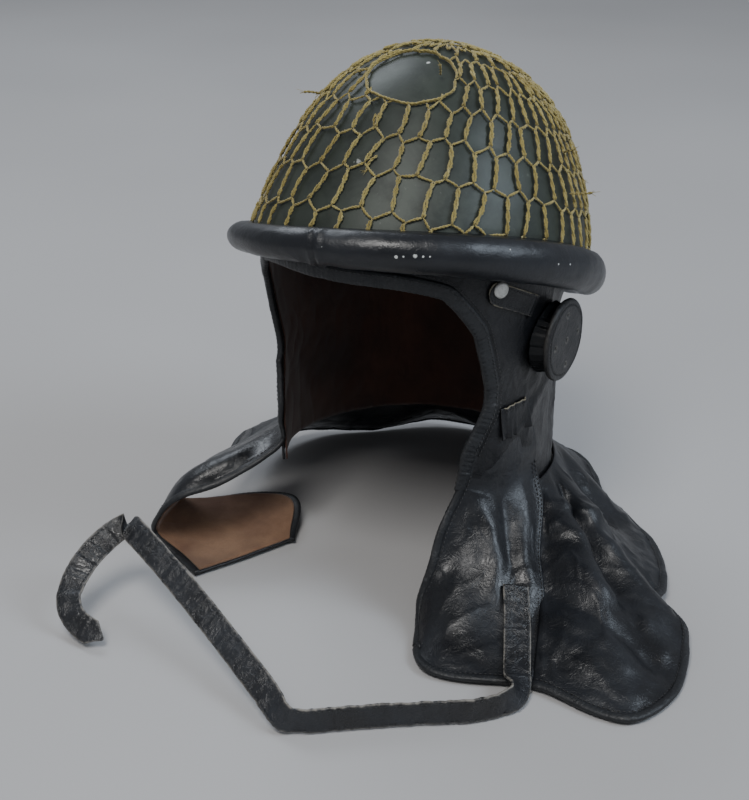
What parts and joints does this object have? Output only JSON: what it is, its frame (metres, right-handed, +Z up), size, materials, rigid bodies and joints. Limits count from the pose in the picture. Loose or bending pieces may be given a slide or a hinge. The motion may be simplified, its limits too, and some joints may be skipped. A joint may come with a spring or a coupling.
{
  "type": "paratrooper helmet",
  "caption": "Netted steel dome with a padded leather rim over an open-faced leather hood with ear discs, cheek flaps, a neck cape and a loose tie strap.",
  "frame": {"origin": "middle of the head opening at the rim, where the helmet sits on a head", "axes": "+Z up, the face looks along -Y, and +X is the wearer's left"},
  "size_m": [0.3976, 0.4105, 0.3496],
  "materials": {
    "steel": "worn dark grey-green paint",
    "net_cord": "mustard-olive twisted cotton cord",
    "leather": "black leather with a soft sheen and scuffs",
    "red_lining": "dark red-brown lining",
    "tan_lining": "tan suede lining",
    "stud_metal": "dull pale grey"
  },
  "bodies": {
    "root": {"steel_shell": "steel", "camouflage_net": "net_cord", "rim_roll": "leather", "face_binding": "leather", "leather_hood": "leather", "hood_lining": "red_lining", "left_cheek_flap": "leather", "right_cheek_flap": "leather", "right_flap_lining": "tan_lining", "neck_cape": "leather", "ear_disc_left": "leather", "ear_gusset_left": "leather", "temple_strap_left": "leather", "temple_stud_left": "stud_metal", "keeper_tab_left": "leather", "ear_disc_right": "leather", "ear_gusset_right": "leather", "temple_strap_right": "leather", "temple_stud_right": "stud_metal", "keeper_tab_right": "leather", "tie_strap": "leather"}
  },
  "joints": []
}
